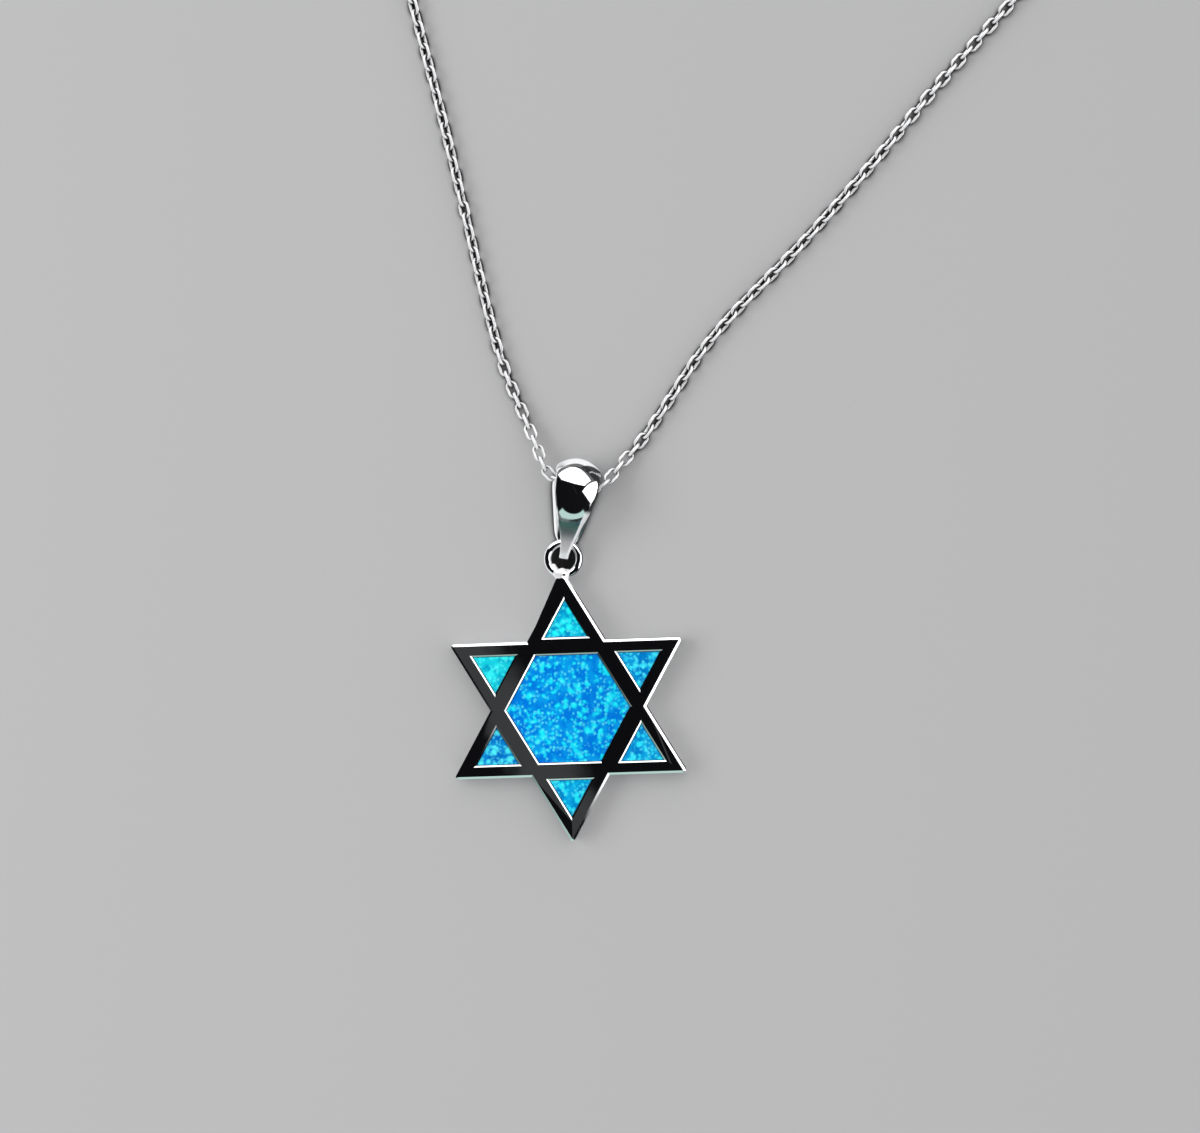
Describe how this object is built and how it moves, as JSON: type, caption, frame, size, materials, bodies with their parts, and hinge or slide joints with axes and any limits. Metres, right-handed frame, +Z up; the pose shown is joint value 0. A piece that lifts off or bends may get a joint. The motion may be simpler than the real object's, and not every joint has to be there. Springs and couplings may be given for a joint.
{
  "type": "star pendant on chain",
  "caption": "Six-pointed star pendant of polished silver with blue opal inlays, on a tapered fold-over bail and a fine cable chain, lying flat.",
  "frame": {"origin": "middle of the star's flat back, on the surface that the necklace lies on", "axes": "+Y from the middle of the star through its top point and hanging ring towards the chain, +X to the wearer's left as seen from the front, +Z up out of the star's face"},
  "size_m": [0.0931, 0.1975, 0.0046],
  "materials": {
    "silver": "polished",
    "opal": "polished"
  },
  "bodies": {
    "root": {"star_frame": "silver", "opal_center": "opal", "opal_1": "opal", "opal_2": "opal", "opal_3": "opal", "opal_4": "opal", "opal_5": "opal", "opal_6": "opal", "bail": "silver", "chain": "silver", "clasp": "silver"}
  },
  "joints": []
}
